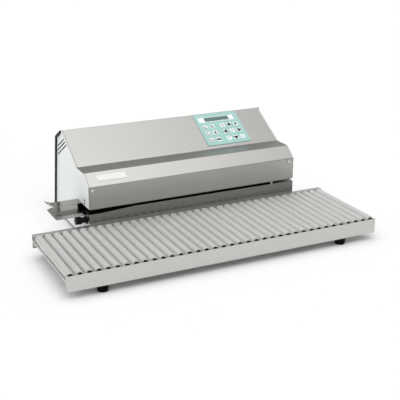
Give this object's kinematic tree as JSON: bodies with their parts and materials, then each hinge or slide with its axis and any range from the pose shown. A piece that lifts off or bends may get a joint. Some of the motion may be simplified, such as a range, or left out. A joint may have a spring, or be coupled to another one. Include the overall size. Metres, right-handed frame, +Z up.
{
  "type": "rotary heat sealer",
  "caption": "Bench heat sealer for pouches: sloped steel housing with keypad and sealing slot, in-feed funnel, clamp knob, and a table of free rollers in front.",
  "frame": {"origin": "on the floor under the middle of the overall box", "axes": "+X the way a pouch travels, along the slot; +Y from the operator to the back; +Z up"},
  "size_m": [0.742, 0.4972, 0.2273],
  "materials": {
    "steel": "brushed",
    "bent_steel": "brushed, matt",
    "dark_steel": "satin",
    "polished_steel": "polished",
    "roller_metal": "satin",
    "white_paint": "satin",
    "black_paint": "satin",
    "black_plastic": "moulded",
    "teal_film": "matt polyester film",
    "display_glass": "glossy window",
    "circuit_board": "solder resist",
    "mechanism_steel": "machined",
    "motor_metal": "dark enamel",
    "belt_cloth": "coated glass cloth"
  },
  "bodies": {
    "sealer_body": {"table_frame": "steel", "base_tray": "mechanism_steel", "lower_bar": "dark_steel", "infeed_tray": "polished_steel", "infeed_guide": "polished_steel", "left_side_panel": "white_paint", "right_side_panel": "white_paint", "top_cover": "bent_steel", "rear_cover": "black_paint", "keypad_membrane": "teal_film", "display_module": "display_glass", "control_board": "circuit_board", "power_inlet": "black_plastic", "mechanism_frame": "mechanism_steel", "drive_motor": "motor_metal", "upper_belt": "belt_cloth", "lower_belt": "belt_cloth"},
    "margin_knob": {"margin_knob": "black_plastic"},
    "power_rocker": {"power_rocker": "black_plastic"},
    "lower_drive_pulley": {"lower_drive_pulley": "mechanism_steel"},
    "upper_drive_pulley": {"upper_drive_pulley": "mechanism_steel"},
    "upper_idler_pulley": {"upper_idler_pulley": "mechanism_steel"},
    "lower_idler_pulley": {"lower_idler_pulley": "mechanism_steel"},
    "roller_01": {"roller_01": "roller_metal"},
    "roller_02": {"roller_02": "roller_metal"},
    "roller_03": {"roller_03": "roller_metal"},
    "roller_04": {"roller_04": "roller_metal"},
    "roller_05": {"roller_05": "roller_metal"},
    "roller_06": {"roller_06": "roller_metal"},
    "roller_07": {"roller_07": "roller_metal"},
    "roller_08": {"roller_08": "roller_metal"},
    "roller_09": {"roller_09": "roller_metal"},
    "roller_10": {"roller_10": "roller_metal"},
    "roller_11": {"roller_11": "roller_metal"},
    "roller_12": {"roller_12": "roller_metal"},
    "roller_13": {"roller_13": "roller_metal"},
    "roller_14": {"roller_14": "roller_metal"},
    "roller_15": {"roller_15": "roller_metal"},
    "roller_16": {"roller_16": "roller_metal"},
    "roller_17": {"roller_17": "roller_metal"},
    "roller_18": {"roller_18": "roller_metal"},
    "roller_19": {"roller_19": "roller_metal"},
    "roller_20": {"roller_20": "roller_metal"},
    "roller_21": {"roller_21": "roller_metal"},
    "roller_22": {"roller_22": "roller_metal"},
    "roller_23": {"roller_23": "roller_metal"},
    "roller_24": {"roller_24": "roller_metal"},
    "roller_25": {"roller_25": "roller_metal"},
    "roller_26": {"roller_26": "roller_metal"},
    "roller_27": {"roller_27": "roller_metal"},
    "roller_28": {"roller_28": "roller_metal"},
    "roller_29": {"roller_29": "roller_metal"},
    "roller_30": {"roller_30": "roller_metal"},
    "roller_31": {"roller_31": "roller_metal"},
    "roller_32": {"roller_32": "roller_metal"},
    "roller_33": {"roller_33": "roller_metal"},
    "roller_34": {"roller_34": "roller_metal"},
    "roller_35": {"roller_35": "roller_metal"},
    "roller_36": {"roller_36": "roller_metal"},
    "roller_37": {"roller_37": "roller_metal"}
  },
  "joints": [
    {"name": "margin_knob_turn", "type": "hinge", "parent": "sealer_body", "child": "margin_knob", "pos_m": [-0.238, -0.00135, 0.0643], "axis": [-1, 0, 0], "continuous": true},
    {"name": "power_rocker_tilt", "type": "hinge", "parent": "sealer_body", "child": "power_rocker", "pos_m": [0.204, 0.23507, 0.08482], "axis": [1, 0, 0], "range_deg": [0, 18]},
    {"name": "lower_drive_pulley_spin", "type": "hinge", "parent": "sealer_body", "child": "lower_drive_pulley", "pos_m": [0.232, 0.03865, 0.06425], "axis": [0, 1, 0], "continuous": true},
    {"name": "upper_drive_pulley_spin", "type": "hinge", "parent": "sealer_body", "child": "upper_drive_pulley", "pos_m": [0.232, 0.03865, 0.10415], "axis": [0, 1, 0], "continuous": true},
    {"name": "upper_idler_pulley_spin", "type": "hinge", "parent": "sealer_body", "child": "upper_idler_pulley", "pos_m": [-0.178, 0.03865, 0.10415], "axis": [0, 1, 0], "continuous": true},
    {"name": "lower_idler_pulley_spin", "type": "hinge", "parent": "sealer_body", "child": "lower_idler_pulley", "pos_m": [-0.178, 0.03865, 0.06425], "axis": [0, 1, 0], "continuous": true},
    {"name": "roller_01_spin", "type": "hinge", "parent": "sealer_body", "child": "roller_01", "pos_m": [-0.36, -0.1349, 0.0471], "axis": [0, 1, 0], "continuous": true},
    {"name": "roller_02_spin", "type": "hinge", "parent": "sealer_body", "child": "roller_02", "pos_m": [-0.34, -0.1349, 0.0471], "axis": [0, 1, 0], "continuous": true},
    {"name": "roller_03_spin", "type": "hinge", "parent": "sealer_body", "child": "roller_03", "pos_m": [-0.32, -0.1349, 0.0471], "axis": [0, 1, 0], "continuous": true},
    {"name": "roller_04_spin", "type": "hinge", "parent": "sealer_body", "child": "roller_04", "pos_m": [-0.3, -0.1349, 0.0471], "axis": [0, 1, 0], "continuous": true},
    {"name": "roller_05_spin", "type": "hinge", "parent": "sealer_body", "child": "roller_05", "pos_m": [-0.28, -0.1349, 0.0471], "axis": [0, 1, 0], "continuous": true},
    {"name": "roller_06_spin", "type": "hinge", "parent": "sealer_body", "child": "roller_06", "pos_m": [-0.26, -0.1349, 0.0471], "axis": [0, 1, 0], "continuous": true},
    {"name": "roller_07_spin", "type": "hinge", "parent": "sealer_body", "child": "roller_07", "pos_m": [-0.24, -0.1349, 0.0471], "axis": [0, 1, 0], "continuous": true},
    {"name": "roller_08_spin", "type": "hinge", "parent": "sealer_body", "child": "roller_08", "pos_m": [-0.22, -0.1349, 0.0471], "axis": [0, 1, 0], "continuous": true},
    {"name": "roller_09_spin", "type": "hinge", "parent": "sealer_body", "child": "roller_09", "pos_m": [-0.2, -0.1349, 0.0471], "axis": [0, 1, 0], "continuous": true},
    {"name": "roller_10_spin", "type": "hinge", "parent": "sealer_body", "child": "roller_10", "pos_m": [-0.18, -0.1349, 0.0471], "axis": [0, 1, 0], "continuous": true},
    {"name": "roller_11_spin", "type": "hinge", "parent": "sealer_body", "child": "roller_11", "pos_m": [-0.16, -0.1349, 0.0471], "axis": [0, 1, 0], "continuous": true},
    {"name": "roller_12_spin", "type": "hinge", "parent": "sealer_body", "child": "roller_12", "pos_m": [-0.14, -0.1349, 0.0471], "axis": [0, 1, 0], "continuous": true},
    {"name": "roller_13_spin", "type": "hinge", "parent": "sealer_body", "child": "roller_13", "pos_m": [-0.12, -0.1349, 0.0471], "axis": [0, 1, 0], "continuous": true},
    {"name": "roller_14_spin", "type": "hinge", "parent": "sealer_body", "child": "roller_14", "pos_m": [-0.1, -0.1349, 0.0471], "axis": [0, 1, 0], "continuous": true},
    {"name": "roller_15_spin", "type": "hinge", "parent": "sealer_body", "child": "roller_15", "pos_m": [-0.08, -0.1349, 0.0471], "axis": [0, 1, 0], "continuous": true},
    {"name": "roller_16_spin", "type": "hinge", "parent": "sealer_body", "child": "roller_16", "pos_m": [-0.06, -0.1349, 0.0471], "axis": [0, 1, 0], "continuous": true},
    {"name": "roller_17_spin", "type": "hinge", "parent": "sealer_body", "child": "roller_17", "pos_m": [-0.04, -0.1349, 0.0471], "axis": [0, 1, 0], "continuous": true},
    {"name": "roller_18_spin", "type": "hinge", "parent": "sealer_body", "child": "roller_18", "pos_m": [-0.02, -0.1349, 0.0471], "axis": [0, 1, 0], "continuous": true},
    {"name": "roller_19_spin", "type": "hinge", "parent": "sealer_body", "child": "roller_19", "pos_m": [0, -0.1349, 0.0471], "axis": [0, 1, 0], "continuous": true},
    {"name": "roller_20_spin", "type": "hinge", "parent": "sealer_body", "child": "roller_20", "pos_m": [0.02, -0.1349, 0.0471], "axis": [0, 1, 0], "continuous": true},
    {"name": "roller_21_spin", "type": "hinge", "parent": "sealer_body", "child": "roller_21", "pos_m": [0.04, -0.1349, 0.0471], "axis": [0, 1, 0], "continuous": true},
    {"name": "roller_22_spin", "type": "hinge", "parent": "sealer_body", "child": "roller_22", "pos_m": [0.06, -0.1349, 0.0471], "axis": [0, 1, 0], "continuous": true},
    {"name": "roller_23_spin", "type": "hinge", "parent": "sealer_body", "child": "roller_23", "pos_m": [0.08, -0.1349, 0.0471], "axis": [0, 1, 0], "continuous": true},
    {"name": "roller_24_spin", "type": "hinge", "parent": "sealer_body", "child": "roller_24", "pos_m": [0.1, -0.1349, 0.0471], "axis": [0, 1, 0], "continuous": true},
    {"name": "roller_25_spin", "type": "hinge", "parent": "sealer_body", "child": "roller_25", "pos_m": [0.12, -0.1349, 0.0471], "axis": [0, 1, 0], "continuous": true},
    {"name": "roller_26_spin", "type": "hinge", "parent": "sealer_body", "child": "roller_26", "pos_m": [0.14, -0.1349, 0.0471], "axis": [0, 1, 0], "continuous": true},
    {"name": "roller_27_spin", "type": "hinge", "parent": "sealer_body", "child": "roller_27", "pos_m": [0.16, -0.1349, 0.0471], "axis": [0, 1, 0], "continuous": true},
    {"name": "roller_28_spin", "type": "hinge", "parent": "sealer_body", "child": "roller_28", "pos_m": [0.18, -0.1349, 0.0471], "axis": [0, 1, 0], "continuous": true},
    {"name": "roller_29_spin", "type": "hinge", "parent": "sealer_body", "child": "roller_29", "pos_m": [0.2, -0.1349, 0.0471], "axis": [0, 1, 0], "continuous": true},
    {"name": "roller_30_spin", "type": "hinge", "parent": "sealer_body", "child": "roller_30", "pos_m": [0.22, -0.1349, 0.0471], "axis": [0, 1, 0], "continuous": true},
    {"name": "roller_31_spin", "type": "hinge", "parent": "sealer_body", "child": "roller_31", "pos_m": [0.24, -0.1349, 0.0471], "axis": [0, 1, 0], "continuous": true},
    {"name": "roller_32_spin", "type": "hinge", "parent": "sealer_body", "child": "roller_32", "pos_m": [0.26, -0.1349, 0.0471], "axis": [0, 1, 0], "continuous": true},
    {"name": "roller_33_spin", "type": "hinge", "parent": "sealer_body", "child": "roller_33", "pos_m": [0.28, -0.1349, 0.0471], "axis": [0, 1, 0], "continuous": true},
    {"name": "roller_34_spin", "type": "hinge", "parent": "sealer_body", "child": "roller_34", "pos_m": [0.3, -0.1349, 0.0471], "axis": [0, 1, 0], "continuous": true},
    {"name": "roller_35_spin", "type": "hinge", "parent": "sealer_body", "child": "roller_35", "pos_m": [0.32, -0.1349, 0.0471], "axis": [0, 1, 0], "continuous": true},
    {"name": "roller_36_spin", "type": "hinge", "parent": "sealer_body", "child": "roller_36", "pos_m": [0.34, -0.1349, 0.0471], "axis": [0, 1, 0], "continuous": true},
    {"name": "roller_37_spin", "type": "hinge", "parent": "sealer_body", "child": "roller_37", "pos_m": [0.36, -0.1349, 0.0471], "axis": [0, 1, 0], "continuous": true}
  ],
  "couplings": [
    {"joint": "upper_drive_pulley_spin", "follows": "lower_drive_pulley_spin", "ratio": -1},
    {"joint": "upper_idler_pulley_spin", "follows": "lower_drive_pulley_spin", "ratio": -1},
    {"joint": "lower_idler_pulley_spin", "follows": "lower_drive_pulley_spin", "ratio": 1}
  ]
}
